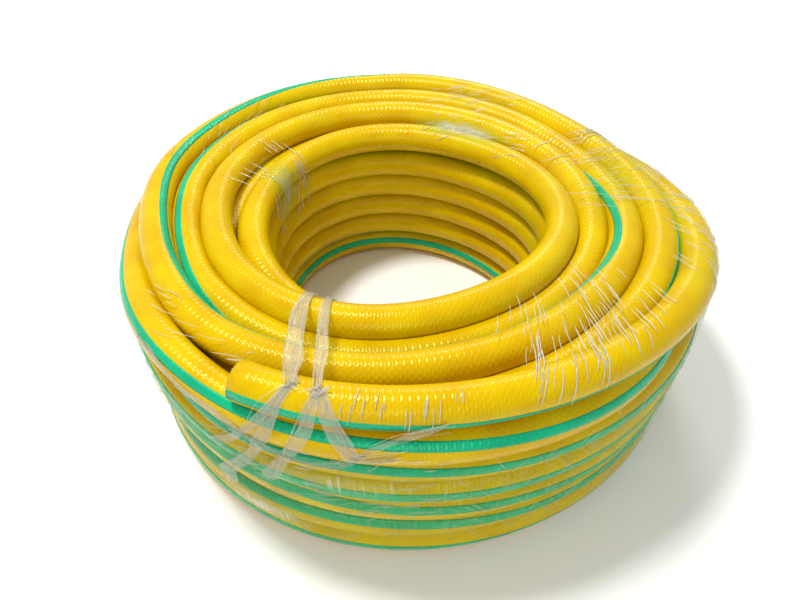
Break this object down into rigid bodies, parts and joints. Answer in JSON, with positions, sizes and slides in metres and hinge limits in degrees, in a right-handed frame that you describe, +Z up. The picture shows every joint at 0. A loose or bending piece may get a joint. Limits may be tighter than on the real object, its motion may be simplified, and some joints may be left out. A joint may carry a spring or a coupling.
{
  "type": "coiled water hose",
  "caption": "Flat round coil of thick yellow braided water hose with an open eye, one free cut end on top, bound with clear stretch film.",
  "frame": {"origin": "the middle of the coil's eye, on the surface that the coil lies on", "axes": "+Z up along the coil's axis; -Y towards the side where the two film ties and the free end lie; +X to the right seen from there"},
  "size_m": [0.3628, 0.3628, 0.1373],
  "materials": {
    "hose_cover": "glossy soft PVC",
    "green_stripe": "glossy soft PVC",
    "braid_yarn": "polyester yarn",
    "inner_tube": "satin soft PVC",
    "stretch_film": "clear stretched polyethylene film"
  },
  "bodies": {
    "root": {"winding_layer_1": "hose_cover", "winding_layer_2": "hose_cover", "winding_layer_3": "hose_cover", "winding_layer_4": "hose_cover", "winding_layer_5": "hose_cover", "last_turn": "hose_cover", "cut_end_cover": "hose_cover", "cut_end_stripe": "green_stripe", "cut_end_braid": "braid_yarn", "cut_end_inner_tube": "inner_tube", "film_wrap": "stretch_film", "film_hoop": "stretch_film", "film_tie_left": "stretch_film", "film_tie_right": "stretch_film"}
  },
  "joints": []
}
